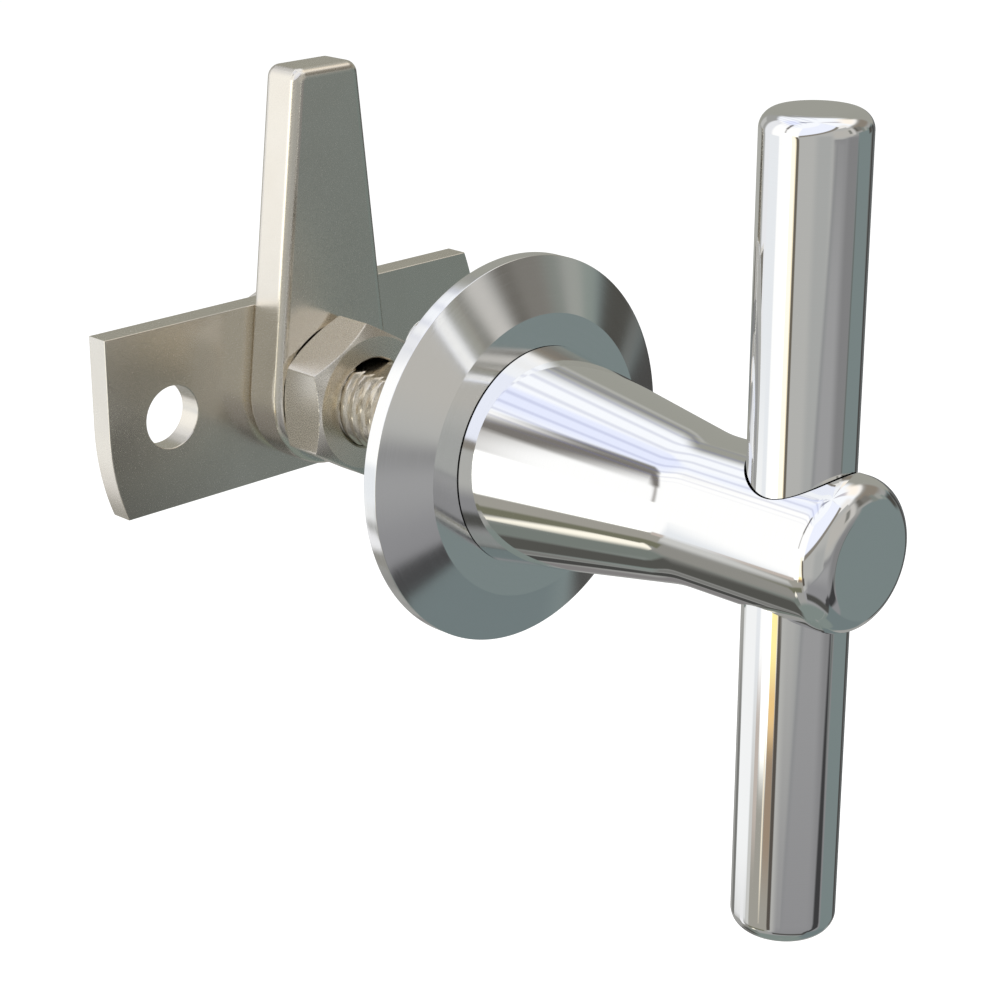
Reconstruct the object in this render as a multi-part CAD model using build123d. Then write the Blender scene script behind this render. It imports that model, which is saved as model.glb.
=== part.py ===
from build123d import *
import math
import os

os.makedirs("parts", exist_ok=True)

# T-handle cam latch for a door. All sizes are in millimetres.
# The origin is on the shaft axis, in the plane where the rosette seats on the door.
# -Y points to the user and the handle, +Y goes through the door to the cam,
# and +Z runs up along the T-bar and the cam arm.

# T-bar
bar_diameter = 12.7
bar_length = 100.0
bar_end_radius = 2.3
bar_offset = 47.0
bar_hole_gap = 0.2
bar_seat_radius = 3.1
bar_seat_depth = 0.5

# Handle hub, turned in one piece with the spigot that runs in the rosette
head_radius = 9.34
head_edge_radius = 3.6
nose_reach = 10.2
shoulder_offset = 33.0
shoulder_blend = 5.0
hub_base_radius = 14.1
hub_gap = 0.22
spigot_radius = 8.0
spigot_length = 10.3
spigot_chamfer = 0.5
shaft_socket_depth = 26.0

# Rosette, a dished flange with its guide collar and three tapped bosses behind
rosette_radius = 25.0
rim_thickness = 2.1
dish_radius = 18.25
rosette_height = 5.1
rim_edge_break = 0.1
collar_radius = 10.7
collar_length = 6.0
boss_count = 3
boss_circle_radius = 15.0
boss_radius = 3.9
boss_length = 7.5
boss_edge_break = 0.3
boss_hole_radius = 2.1
boss_hole_depth = 9.0
face_groove_radius = 21.3
face_groove_width = 2.0
face_groove_depth = 1.2

# Bearing and seals
running_gap = 0.05
bush_wall = 0.95
bush_flange_thickness = 1.0
shaft_seal_section = 1.5
shaft_seal_corner = 0.4
seal_pocket_gap = 0.1
face_seal_edge = 0.3

# Parts that keep the hub in the rosette
thrust_washer_thickness = 1.0
ring_thickness = 1.0
ring_groove_depth = 0.4
ring_groove_gap = 0.05
ring_width = 2.0
ring_ear_radius = 1.7
ring_ear_hole_radius = 0.8
ring_ear_angle = 26.0
ring_gap_angle = 18.0

# Stop pin and its slot, hidden under the hub
handle_travel = 90.0
stop_pin_radius = 1.25
stop_circle_radius = 11.7
stop_pin_grip = 3.0
stop_pin_reach = 2.7
stop_slot_depth = 3.0
stop_slot_gap = 0.1
stop_rest_angle = 225.0

# Threaded shaft
shaft_radius = 6.0
shaft_flat_width = 10.0
shaft_round_end = 11.0
shaft_overhang = 2.5
shaft_chamfer = 0.9
thread_gap = 0.05
shaft_pin_radius = 1.5
shaft_pin_place = 1.5
shaft_pin_end_gap = 0.15

# Grub screw that holds the T-bar from inside the hub
grub_radius = 4.0
grub_point_radius = 2.9
grub_point_length = 2.0
grub_length = 16.0
grub_point_gap = 0.05
grub_key_width = 4.0
grub_key_depth = 4.0

# Hexagon nuts
nut_width = 18.7
nut_thickness = 7.4
nut_chamfer_radius = 9.0
nut_chamfer_angle = 30.0
nut_countersink = 0.25

# Cam arm and rod cam, both on the flats of the shaft
front_nut_place = 25.8
flat_gap = 0.1
arm_thickness = 6.5
arm_root_radius = 10.35
arm_height = 44.25
arm_tip_width = 10.8
arm_tip_radius = 1.8
arm_edge_radius = 1.35
plate_thickness = 3.4
plate_length = 66.3
plate_width = 25.0
rod_hole_radius = 4.25
rod_hole_spacing = 45.8

# Tools that cut right through are this many times as large as what they cut
cut_reach = 4

# Places along the shaft that follow from the sizes above
nose_face = -(bar_offset + nose_reach)
rosette_face = -rosette_height
hub_base = rosette_face - hub_gap
spigot_end = spigot_length
bush_front = rosette_face + shaft_seal_section + seal_pocket_gap
bush_end = collar_length + bush_flange_thickness
washer_start = bush_end + running_gap
ring_start = washer_start + thrust_washer_thickness
socket_bottom = hub_base - shaft_socket_depth + spigot_length
arm_start = front_nut_place + nut_thickness
plate_start = arm_start + arm_thickness
rear_nut_place = plate_start + plate_thickness
shaft_end = rear_nut_place + nut_thickness + shaft_overhang


def turned(*corners):
    """A solid turned about the shaft axis from corners given as (radius, place along the axis)."""
    return revolve(make_face(Polyline(*corners, close=True)), Axis.Y)


def rod(radius, start, end, x=0.0, z=0.0):
    """A round rod parallel to the shaft axis."""
    return Pos(x, start, z) * extrude(Plane.XZ * Circle(radius), -(end - start))


def slab(outline, start, thickness):
    """A flat part whose outline is drawn as the user sees it, X to the right and Z up."""
    return extrude(Plane.XZ.offset(-start) * outline, -thickness)


def on_circle(radius, angle):
    """X and Z of a point at an angle from +X towards +Z."""
    turn = math.radians(angle)
    return radius * math.cos(turn), radius * math.sin(turn)


def double_d(radius, width):
    """A circle with a flat at its top and one at its bottom."""
    return Circle(radius) & Rectangle(2 * radius, width)


def rosette():
    pocket_radius = spigot_radius + shaft_seal_section + seal_pocket_gap
    bore_radius = spigot_radius + running_gap + bush_wall
    body = turned(
        (bore_radius, collar_length),
        (collar_radius, collar_length),
        (collar_radius, 0),
        (rosette_radius, 0),
        (rosette_radius, -rim_thickness),
        (dish_radius, rosette_face),
        (pocket_radius, rosette_face),
        (pocket_radius, bush_front),
        (bore_radius, bush_front),
    )
    rim = body.edges().filter_by(GeomType.CIRCLE)
    rim = rim.filter_by(lambda edge: abs(edge.radius - rosette_radius) < 0.01)
    body = chamfer(rim, rim_edge_break)
    for number in range(boss_count):
        x, z = on_circle(boss_circle_radius, number * 360 / boss_count)
        boss = rod(boss_radius, -rim_thickness, boss_length, x, z)
        boss = chamfer(boss.edges().group_by(Axis.Y)[-1], boss_edge_break)
        body += boss
        body -= rod(boss_hole_radius, boss_length - boss_hole_depth, boss_length, x, z)
    inner = face_groove_radius - face_groove_width / 2
    outer = face_groove_radius + face_groove_width / 2
    body -= turned((inner, 0), (outer, 0), (outer, -face_groove_depth), (inner, -face_groove_depth))
    return body - stop_slot()


def stop_slot():
    """A curved slot that lets the stop pin travel through the handle's turn."""
    half_width = stop_pin_radius + stop_slot_gap
    bottom = rosette_face + stop_slot_depth
    middle = stop_rest_angle - handle_travel / 2
    inner = stop_circle_radius - half_width
    outer = stop_circle_radius + half_width
    band = turned((inner, rosette_face), (outer, rosette_face), (outer, bottom), (inner, bottom))
    reach = cut_reach * rosette_radius
    edge_a = on_circle(reach, middle - handle_travel / 2)
    edge_b = on_circle(reach, middle + handle_travel / 2)
    slot = band & slab(make_face(Polyline((0, 0), edge_a, edge_b, close=True)), rosette_face, stop_slot_depth)
    for angle in (stop_rest_angle - handle_travel, stop_rest_angle):
        slot += rod(half_width, rosette_face, bottom, *on_circle(stop_circle_radius, angle))
    return slot


def face_seal():
    """The ring that seals the rosette to the door, as it lies when pressed flat."""
    inner = face_groove_radius - face_groove_width / 2
    outer = face_groove_radius + face_groove_width / 2
    ring = turned((inner, 0), (outer, 0), (outer, -face_groove_depth), (inner, -face_groove_depth))
    return chamfer(ring.edges().group_by(Axis.Y)[0], face_seal_edge)


def bearing_bush():
    inner = spigot_radius + running_gap
    outer = inner + bush_wall
    return turned(
        (inner, bush_front),
        (outer, bush_front),
        (outer, collar_length),
        (collar_radius, collar_length),
        (collar_radius, bush_end),
        (inner, bush_end),
    )


def shaft_seal():
    """A square ring with broken corners, between the spigot and its pocket in the rosette."""
    inner = spigot_radius + running_gap
    outer = inner + shaft_seal_section
    front = rosette_face + seal_pocket_gap / 2
    back = front + shaft_seal_section
    ring = turned((inner, front), (outer, front), (outer, back), (inner, back))
    return chamfer(ring.edges().filter_by(GeomType.CIRCLE), shaft_seal_corner)


def hub_profile():
    """Half of the hub's section, from the nose to the end of the spigot."""
    groove_bottom = spigot_radius - ring_groove_depth
    groove_end = ring_start + ring_thickness + ring_groove_gap
    section = make_face(Polyline(
        (0, nose_face),
        (head_radius, nose_face),
        (head_radius, -shoulder_offset),
        (hub_base_radius, hub_base),
        (spigot_radius, hub_base),
        (spigot_radius, ring_start),
        (groove_bottom, ring_start),
        (groove_bottom, groove_end),
        (spigot_radius, groove_end),
        (spigot_radius, spigot_end - spigot_chamfer),
        (spigot_radius - spigot_chamfer, spigot_end),
        (0, spigot_end),
        close=True,
    ))
    nose_corner = section.vertices().sort_by_distance((head_radius, nose_face, 0))[0]
    section = fillet(nose_corner, head_edge_radius)
    shoulder = section.vertices().sort_by_distance((head_radius, -shoulder_offset, 0))[0]
    return fillet(shoulder, shoulder_blend)


def cross_pin(length):
    """A rod across the shaft, of the shaft pin's radius and at its place."""
    return Pos(0, shaft_pin_place, 0) * Rot(0, 90, 0) * Cylinder(shaft_pin_radius, length)


def handle_hub():
    body = revolve(hub_profile(), Axis.Y)
    hole_radius = bar_diameter / 2 + bar_hole_gap
    body -= Pos(0, -bar_offset, 0) * Cylinder(hole_radius, cut_reach * head_radius)
    body -= rod(grub_radius + thread_gap, -bar_offset, socket_bottom)
    body -= rod(shaft_radius + thread_gap, socket_bottom, spigot_end)
    x, z = on_circle(stop_circle_radius, stop_rest_angle)
    body -= rod(stop_pin_radius, hub_base - stop_pin_grip, hub_base, x, z)
    return body - cross_pin(cut_reach * spigot_radius)


def t_bar():
    """The cross bar, with the drilled seat that the grub screw's point enters."""
    bar = Pos(0, -bar_offset, 0) * Cylinder(bar_diameter / 2, bar_length)
    bar = fillet(bar.edges().filter_by(GeomType.CIRCLE), bar_end_radius)
    back = -bar_offset + bar_diameter / 2
    return bar - rod(bar_seat_radius, back - bar_seat_depth, back + bar_seat_depth)


def grub_screw():
    tip = -bar_offset + bar_diameter / 2 - bar_seat_depth + grub_point_gap
    shoulder = tip + grub_point_length
    end = tip + grub_length
    screw = turned((0, tip), (grub_point_radius, tip), (grub_point_radius, shoulder),
                   (grub_radius, shoulder), (grub_radius, end), (0, end))
    key = RegularPolygon(grub_key_width / 2, 6, major_radius=False)
    return screw - slab(key, end - grub_key_depth, grub_key_depth)


def stop_pin():
    x, z = on_circle(stop_circle_radius, stop_rest_angle)
    return rod(stop_pin_radius, hub_base - stop_pin_grip, hub_base + stop_pin_reach, x, z)


def threaded_shaft():
    """The shaft is round where it screws into the hub and has two flats from there to its end."""
    start = socket_bottom
    body = turned(
        (0, start),
        (shaft_radius - shaft_chamfer, start),
        (shaft_radius, start + shaft_chamfer),
        (shaft_radius, shaft_end - shaft_chamfer),
        (shaft_radius - shaft_chamfer, shaft_end),
        (0, shaft_end),
    )
    wide = cut_reach * shaft_radius
    beside_flats = Rectangle(wide, wide) - Rectangle(wide, shaft_flat_width)
    body -= slab(beside_flats, shaft_round_end, shaft_end - shaft_round_end)
    return body - cross_pin(cut_reach * shaft_radius)


def shaft_pin():
    """The pin that locks the shaft in the hub, hidden inside the bush."""
    return cross_pin(2 * (spigot_radius - shaft_pin_end_gap))


def thrust_washer():
    inner = spigot_radius + running_gap
    end = washer_start + thrust_washer_thickness
    return turned((inner, washer_start), (collar_radius, washer_start), (collar_radius, end), (inner, end))


def retaining_ring():
    """An open ring with two eared ends, sprung into the groove of the spigot."""
    inner = spigot_radius - ring_groove_depth
    outer = inner + ring_width
    ear_place = inner + ring_ear_radius
    outline = Circle(outer)
    for side in (-1, 1):
        ear = on_circle(ear_place, 90 + side * ring_ear_angle)
        outline += Pos(*ear) * Circle(ring_ear_radius)
    outline -= Circle(inner)
    corner_a = on_circle(cut_reach * outer, 90 - ring_gap_angle)
    corner_b = on_circle(cut_reach * outer, 90 + ring_gap_angle)
    outline -= make_face(Polyline((0, 0), corner_a, corner_b, close=True))
    for side in (-1, 1):
        ear = on_circle(ear_place, 90 + side * ring_ear_angle)
        outline -= Pos(*ear) * Circle(ring_ear_hole_radius)
    return slab(outline, ring_start, ring_thickness)


def hexagon_nut(start):
    """A nut with a corner at its top, chamfered on both faces."""
    end = start + nut_thickness
    blank = slab(Rot(0, 0, 90) * RegularPolygon(nut_width / 2, 6, major_radius=False), start, nut_thickness)
    wide = nut_width
    drop = (wide - nut_chamfer_radius) * math.tan(math.radians(nut_chamfer_angle))
    blank &= turned((0, start), (nut_chamfer_radius, start), (wide, start + drop), (wide, end), (0, end))
    blank &= turned((0, start), (wide, start), (wide, end - drop), (nut_chamfer_radius, end), (0, end))
    hole = shaft_radius + thread_gap
    return blank - turned(
        (0, start),
        (hole + nut_countersink, start),
        (hole, start + nut_countersink),
        (hole, end - nut_countersink),
        (hole + nut_countersink, end),
        (0, end),
    )


def flats_hole(start, thickness):
    outline = double_d(shaft_radius + flat_gap, shaft_flat_width + 2 * flat_gap)
    return slab(outline, start, thickness)


def cam_arm():
    """A tapered arm, round at its foot and rounded along its edges."""
    tip = Pos(0, arm_height - arm_tip_radius) * Rectangle(arm_tip_width, 2 * arm_tip_radius)
    outline = make_hull(Circle(arm_root_radius).edges() + tip.edges())
    top = outline.vertices().group_by(Axis.Y)[-1]
    outline = fillet(top, arm_tip_radius)
    body = slab(outline, arm_start, arm_thickness)
    body = fillet(body.edges().group_by(Axis.Y)[0], arm_edge_radius)
    body = fillet(body.edges().group_by(Axis.Y)[-1], arm_edge_radius)
    return body - flats_hole(arm_start, arm_thickness)


def rod_cam():
    """A plate that looks the same after half a turn: at each end one corner is cut to the turning circle."""
    outline = Circle(plate_length / 2) & Rectangle(plate_length, plate_width)
    quarter = Rectangle(plate_length / 2, plate_width / 2)
    outline += Pos(-plate_length / 4, plate_width / 4) * quarter
    outline += Pos(plate_length / 4, -plate_width / 4) * quarter
    for side in (-1, 1):
        outline -= Pos(side * rod_hole_spacing / 2, 0) * Circle(rod_hole_radius)
    return slab(outline, plate_start, plate_thickness) - flats_hole(plate_start, plate_thickness)


pieces = {
    "rosette": rosette(),
    "bearing_bush": bearing_bush(),
    "face_seal": face_seal(),
    "shaft_seal": shaft_seal(),
    "handle_hub": handle_hub(),
    "t_bar": t_bar(),
    "grub_screw": grub_screw(),
    "stop_pin": stop_pin(),
    "threaded_shaft": threaded_shaft(),
    "shaft_pin": shaft_pin(),
    "thrust_washer": thrust_washer(),
    "retaining_ring": retaining_ring(),
    "front_nut": hexagon_nut(front_nut_place),
    "cam_arm": cam_arm(),
    "rod_cam": rod_cam(),
    "rear_nut": hexagon_nut(rear_nut_place),
}

for name, piece in pieces.items():
    export_step(piece, f"parts/{name}.step")
    print(f"{name}: {piece.volume:.1f} mm3")
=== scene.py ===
# %% [markdown]
# # Cam latch with a T-handle
#
# The latch sits in a cabinet door. The user turns the polished T-bar by a quarter turn, the
# hub turns in its dished rosette, and the threaded shaft behind it carries a cam arm and a rod
# cam between two thin nuts. The solids that hold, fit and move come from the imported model.
# This script gives each one its finish, and makes finer meshes of the turned pieces, the
# threaded shaft, the nuts and the rod cam.

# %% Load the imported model
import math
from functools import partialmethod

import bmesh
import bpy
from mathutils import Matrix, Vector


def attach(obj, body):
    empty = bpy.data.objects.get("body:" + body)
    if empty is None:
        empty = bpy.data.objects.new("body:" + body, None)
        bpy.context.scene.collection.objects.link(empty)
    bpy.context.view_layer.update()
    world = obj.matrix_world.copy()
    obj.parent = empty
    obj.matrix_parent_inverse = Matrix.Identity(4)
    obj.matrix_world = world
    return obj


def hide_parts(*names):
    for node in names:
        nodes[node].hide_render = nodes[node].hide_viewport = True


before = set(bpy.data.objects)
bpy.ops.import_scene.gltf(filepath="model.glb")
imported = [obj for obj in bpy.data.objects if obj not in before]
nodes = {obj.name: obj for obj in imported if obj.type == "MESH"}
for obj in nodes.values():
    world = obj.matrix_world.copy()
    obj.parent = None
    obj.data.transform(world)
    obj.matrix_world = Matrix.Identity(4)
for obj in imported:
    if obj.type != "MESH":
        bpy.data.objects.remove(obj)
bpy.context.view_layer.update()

# %% [markdown]
# ## Units
#
# Blender works in metres and the latch was drawn in millimetres, so lengths are written in
# millimetres here and multiplied by MM.

MM = 0.001

# %% [markdown]
# ## The camera
#
# The camera stands before the door side of the latch, to the user's left and above. Its place,
# turn and lens were worked out from the outlines of the round pieces, whose true shapes are
# known. A long lens keeps the two ends of the T-bar almost parallel.

# %% Camera
CAMERA_PLACE = Vector((-0.2210, -0.2200, 0.1056))
CAMERA_AZIMUTH = -44.88
CAMERA_ELEVATION = 20.62


def add_object(name, data):
    """A new object at the origin, linked into the scene."""
    obj = bpy.data.objects.new(name, data)
    bpy.context.scene.collection.objects.link(obj)
    return obj


camera_data = bpy.data.cameras.new("studio_camera")
camera_data.lens = 93.14
camera_data.sensor_width = 36.0
camera_data.shift_x = 0.0012
camera_data.shift_y = 0.0327
camera_data.clip_start = 0.01
camera = add_object("studio_camera", camera_data)
camera.location = CAMERA_PLACE
camera.rotation_euler = (math.radians(90 - CAMERA_ELEVATION), 0, math.radians(CAMERA_AZIMUTH))
bpy.context.scene.camera = camera
print("camera is", round(CAMERA_PLACE.length / MM), "mm from the shaft")

# %% [markdown]
# ## A short way to write node trees
#
# Geometry trees, materials and the lighting tent are all node trees. Written out in full, each
# node takes four or five lines, so a small class adds a node, sets its fields and links what it
# is given: a socket is linked, and anything else is written into the input. A second helper
# starts a node group with its named inputs and outputs.

# %% Node tree helpers
FLOAT = "NodeSocketFloat"


class Tree:
    """Adds nodes to a tree. Inputs are given as a dict of socket name or number to value or socket."""

    def __init__(self, tree):
        self.tree = tree

    def add(self, kind, inputs=None, **fields):
        node = self.tree.nodes.new(kind)
        for name, value in fields.items():
            setattr(node, name, value)
        self.fill(node, inputs or {})
        return node

    def fill(self, node, inputs):
        for key, value in inputs.items():
            if isinstance(value, bpy.types.NodeSocket):
                self.tree.links.new(value, node.inputs[key])
            else:
                node.inputs[key].default_value = value

    def math(self, operation, *values, clamp=False):
        node = self.add("ShaderNodeMath", dict(enumerate(values)), operation=operation, use_clamp=clamp)
        return node.outputs[0]

    plus = partialmethod(math, "ADD")
    minus = partialmethod(math, "SUBTRACT")
    times = partialmethod(math, "MULTIPLY")
    over = partialmethod(math, "DIVIDE")

    def ramp(self, value, low, high, start=0.0, end=1.0, smooth=False):
        """The value's place between low and high, stretched to run from start to end and held there."""
        inputs = {"Value": value, "From Min": low, "From Max": high, "To Min": start, "To Max": end}
        way = "SMOOTHSTEP" if smooth else "LINEAR"
        return self.add("ShaderNodeMapRange", inputs, interpolation_type=way).outputs["Result"]

    def blend(self, factor, first, second):
        """A colour between two colours."""
        inputs = {"Factor": factor, 6: first, 7: second}
        return self.add("ShaderNodeMix", inputs, data_type="RGBA").outputs[2]

    def split(self, vector):
        """The outputs that hold a vector's X, Y and Z."""
        return self.add("ShaderNodeSeparateXYZ", {0: vector}).outputs

    def combine(self, x, y, z=0.0):
        """A vector from three numbers."""
        return self.add("ShaderNodeCombineXYZ", {"X": x, "Y": y, "Z": z}).outputs[0]

    def from_axis(self, first, second):
        """How far a point is from the axis that its two coordinates are measured from."""
        squares = [self.math("POWER", value, 2.0) for value in (first, second)]
        return self.math("SQRT", self.plus(*squares))

    def on_circle(self, radius, angle):
        """The two coordinates of a point on a circle."""
        return [self.times(radius, self.math(way, angle)) for way in ("COSINE", "SINE")]


def new_group(name, kind, inputs, outputs):
    """A node group, from two dicts of socket name to socket type. Returns the group, its Tree and
    the outputs of its input node."""
    tree = bpy.data.node_groups.new(name, kind)
    for direction, sockets in (("INPUT", inputs), ("OUTPUT", outputs)):
        for label, socket_type in sockets.items():
            tree.interface.new_socket(label, in_out=direction, socket_type=socket_type)
    print("node group:", name)
    t = Tree(tree)
    return tree, t, t.add("NodeGroupInput").outputs


def display(*shade):
    """A red, green and blue as a screen shows them, in the linear light that nodes work in."""
    return (*[c / 12.92 if c <= 0.04045 else ((c + 0.055) / 1.055) ** 2.4 for c in shade], 1.0)


print("half grey on a screen is", round(display(0.5, 0.5, 0.5)[0], 3), "in linear light")

# %% [markdown]
# ## Shared surface effects
#
# Two effects turn up on several finishes, so each is a shader node group that is built once.
#
# *Turning marks* are the fine rings that a lathe and a polishing wheel leave. They depend only
# on the distance from the axis and the place along it, so noise is read at those two numbers
# and every ring closes on itself.
#
# *Blasted grain* is the even speckle of steel that was blasted with glass beads: two sizes of
# noise, the fine one strong and the coarse one weak.

# %% Turning marks and blasted grain
CLOUD_SIZE = 30.0


def noise(t, vector, size, detail):
    """Noise with spots of about a size, stretched so that it reaches 0 and 1."""
    inputs = {"Vector": vector, "Scale": t.over(1.0, size), "Detail": detail}
    return t.ramp(t.add("ShaderNodeTexNoise", inputs).outputs["Fac"], 0.3, 0.7)


def turning_marks():
    inputs = {"Along": FLOAT, "Across": FLOAT, "Spacing": FLOAT}
    tree, t, given = new_group("Turning marks", "ShaderNodeTree", inputs, {"Mark": FLOAT})
    place = t.combine(given["Along"], given["Across"])
    t.add("NodeGroupOutput", {"Mark": noise(t, place, given["Spacing"], 3.0)})
    return tree


def blasted_grain():
    inputs = {"Vector": "NodeSocketVector", "Grain": FLOAT}
    outputs = {"Height": FLOAT, "Cloud": FLOAT}
    tree, t, given = new_group("Blasted grain", "ShaderNodeTree", inputs, outputs)
    height = noise(t, given["Vector"], given["Grain"], 2.0)
    cloud = noise(t, given["Vector"], t.times(given["Grain"], CLOUD_SIZE), 3.0)
    t.add("NodeGroupOutput", {"Height": height, "Cloud": cloud})
    return tree


MARKS = turning_marks()
GRAIN = blasted_grain()

# %% [markdown]
# ## Polished steel
#
# The handle and the rosette are turned and then polished until they mirror. Their colour on the
# screen is the colour of what they mirror, so the metal's own colour stays light and neutral,
# and it has almost no roughness. A perfectly even mirror would look computed, so the lathe rings
# move the roughness and the normal a little. The T-bar's rings run round its own axis, which
# lies BAR_OFFSET before the door's face.

# %% Polished steel
BAR_OFFSET = 47.0
MARK_SPACING = 0.12


def emptied(owner):
    """Gives a material or a world a node tree with nothing in it."""
    owner.use_nodes = True
    owner.node_tree.nodes.clear()
    return Tree(owner.node_tree)


def new_material(name):
    material = bpy.data.materials.new(name)
    t = emptied(material)
    shader = t.add("ShaderNodeBsdfPrincipled")
    t.add("ShaderNodeOutputMaterial", {"Surface": shader.outputs[0]})
    print("finish:", name)
    return material, t, shader


def add_relief(t, shader, height, smoothest, roughest, strength, depth=0.01):
    """One height pattern moves the roughness between two values and stands out as a bump."""
    roughness = t.ramp(height, 0.0, 1.0, smoothest, roughest)
    bump = t.add("ShaderNodeBump", {"Height": height, "Strength": strength, "Distance": depth * MM})
    t.fill(shader, {"Roughness": roughness, "Normal": bump.outputs[0]})


def polished_steel(name, axis, roughness):
    """Polished steel that was turned about an axis: Y for the hub and rosette, Z for the bar."""
    material, t, shader = new_material(name)
    place = t.split(t.add("ShaderNodeTexCoord").outputs["Object"])
    aside = place["Z"] if axis == "Y" else t.plus(place["Y"], BAR_OFFSET * MM)
    given = {"Along": place[axis], "Across": t.from_axis(place["X"], aside), "Spacing": MARK_SPACING * MM}
    mark = t.add("ShaderNodeGroup", given, node_tree=MARKS).outputs["Mark"]
    colour = t.blend(mark, display(0.965, 0.965, 0.960), display(0.972, 0.972, 0.970))
    t.fill(shader, {"Base Color": colour, "Metallic": 1.0})
    add_relief(t, shader, mark, roughness * 0.8, roughness * 1.2, 0.02, 0.0001)
    return material


POLISHED_HUB = polished_steel("Polished steel of the hub", "Y", 0.035)
POLISHED_BAR = polished_steel("Polished steel of the bar", "Z", 0.03)
POLISHED_DISH = polished_steel("Polished steel of the rosette", "Y", 0.12)

# %% [markdown]
# ## Satin steel
#
# The pieces behind the door are the same metal, but blasted: warmer, rougher and grained. A
# photograph of such steel could be laid over them. Noise is used because it never repeats and
# has no seam: the grain feeds the bump and the roughness, and a slow cloud shifts the colour.
# Two marks are painted by place, and both are painted shade: a dark ring in the narrow gap at the
# front nut's foot, and a darker part of the rod cam's front towards its left end.

# %% Satin steel
SPECKLE_SHARE = 0.35
CLOUD_SHARE = 0.65
# Painted shade: the colour that the rod cam's front darkens to towards its left end.
FRONT_SHADE_COLOUR = display(0.64, 0.625, 0.585)
# Painted shade of the narrow gap at the front nut's foot: its dark colour and the width of its ring.
GAP_SHADE_COLOUR = display(0.22, 0.20, 0.18)
GAP_SHADE_WIDTH = 0.15


def satin_steel(name, light, dark, roughness, grain, relief=0.07, gap=None, shaded_span=None):
    """Blasted steel. Light and dark are the two colours that the slow cloud moves between. A gap is
    the radius and the place along the shaft of a ring of painted shade in a narrow gap. The last
    span is where along X painted shade on a front begins and where it is full. All are in millimetres."""
    material, t, shader = new_material(name)
    surface = t.add("ShaderNodeTexCoord").outputs
    given = {"Vector": surface["Object"], "Grain": grain * MM}
    effect = t.add("ShaderNodeGroup", given, node_tree=GRAIN).outputs
    speckle = t.ramp(effect["Height"], 0.0, 1.0, 0.0, SPECKLE_SHARE)
    cloud = t.ramp(effect["Cloud"], 0.0, 1.0, 0.0, CLOUD_SHARE)
    colour = t.blend(t.plus(speckle, cloud), dark, light)
    place = t.split(surface["Object"])
    # Painted shade: a front darkens along X towards its left end, for a darker reflection there.
    if shaded_span:
        on_front = t.math("LESS_THAN", t.split(surface["Normal"])["Y"], -0.9)
        front_shade = t.ramp(place["X"], shaded_span[0] * MM, shaded_span[1] * MM)
        colour = t.blend(t.times(front_shade, on_front), colour, FRONT_SHADE_COLOUR)
    # Painted shade: a dark ring on the face in the narrow gap at the front nut's foot.
    if gap:
        from_shaft = t.from_axis(place["X"], place["Z"])
        ring = t.ramp(from_shaft, (gap[0] + GAP_SHADE_WIDTH) * MM, gap[0] * MM, smooth=True)
        on_face = t.math("COMPARE", place["Y"], gap[1] * MM, 0.05 * MM)
        colour = t.blend(t.times(ring, on_face), colour, GAP_SHADE_COLOUR)
    t.fill(shader, {"Base Color": colour, "Metallic": 1.0})
    add_relief(t, shader, effect["Height"], roughness - 0.05, roughness + 0.05, relief)
    return material


warm = [display(0.94, 0.92, 0.88), display(0.925, 0.902, 0.858)]
golden = [display(0.97, 0.94, 0.88), display(0.80, 0.76, 0.68)]
# The plate's front carries painted shade that darkens it towards its left end.
SATIN_FLAT = satin_steel("Satin steel of the plate", *warm, 0.23, 0.16, shaded_span=(-12, -42))
# The cam arm carries a ring of painted shade where the front nut meets it.
SATIN_ARM = satin_steel("Satin steel of the cam arm", *warm, 0.23, 0.16, gap=(9.45, 33.2))
SATIN_NUT = satin_steel("Satin steel of the nuts", *warm, 0.27, 0.12)
SATIN_THREAD = satin_steel("Satin steel of the shaft", *golden, 0.22, 0.14, relief=0.4)

# %% [markdown]
# ## Rubber and plastic
#
# The seals are dark rubber and the bush is pale plastic. Both are moulded and lie mostly inside
# the latch, so one rule does for both: the same grain, a low sheen and no metal.

# %% Rubber and plastic
MOULDED_GRAIN = 0.15


def moulded(name, light, dark, roughness):
    """Rubber or plastic with a fine moulded grain."""
    material, t, shader = new_material(name)
    given = {"Vector": t.add("ShaderNodeTexCoord").outputs["Object"], "Grain": MOULDED_GRAIN * MM}
    effect = t.add("ShaderNodeGroup", given, node_tree=GRAIN).outputs
    t.fill(shader, {"Base Color": t.blend(effect["Cloud"], dark, light)})
    add_relief(t, shader, effect["Height"], roughness - 0.08, roughness, 0.2)
    return material


SEAL_RUBBER = moulded("Seal rubber", display(0.16, 0.16, 0.16), display(0.11, 0.11, 0.11), 0.65)
BUSH_PLASTIC = moulded("Bush plastic", display(0.86, 0.85, 0.82), display(0.80, 0.79, 0.76), 0.5)

# %% [markdown]
# ## Outlines for turned pieces
#
# The hub, the rosette and the bar are turned, so each is one half outline carried round an
# axis. A corner is written as its distance from the axis, its place along it and the radius of
# its rounding, exactly as a lathe drawing gives it. The rounding becomes a true arc, and long
# straight runs are divided too: smooth shading turns its normals only next to an arc's end, so
# short steps there keep a mirror finish true.

# %% Outline with rounded corners
ARC_STEP = 4.0
RUN_STEP = 0.6


def arc_corner(before, corner, after, radius):
    """The points of the arc that rounds a corner between two straight runs."""
    to_before = (before - corner).normalized()
    to_after = (after - corner).normalized()
    half = to_before.angle(to_after) / 2
    reach = radius / math.tan(half)
    centre = corner + (to_before + to_after).normalized() * (radius / math.sin(half))
    first = corner + to_before * reach - centre
    last = corner + to_after * reach - centre
    sweep = first.angle_signed(last)
    count = max(2, math.ceil(abs(math.degrees(sweep)) / ARC_STEP))
    points = []
    for number in range(count + 1):
        turn = -sweep * number / count
        x = first.x * math.cos(turn) - first.y * math.sin(turn)
        y = first.x * math.sin(turn) + first.y * math.cos(turn)
        points.append(centre + Vector((x, y)))
    return points


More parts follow.
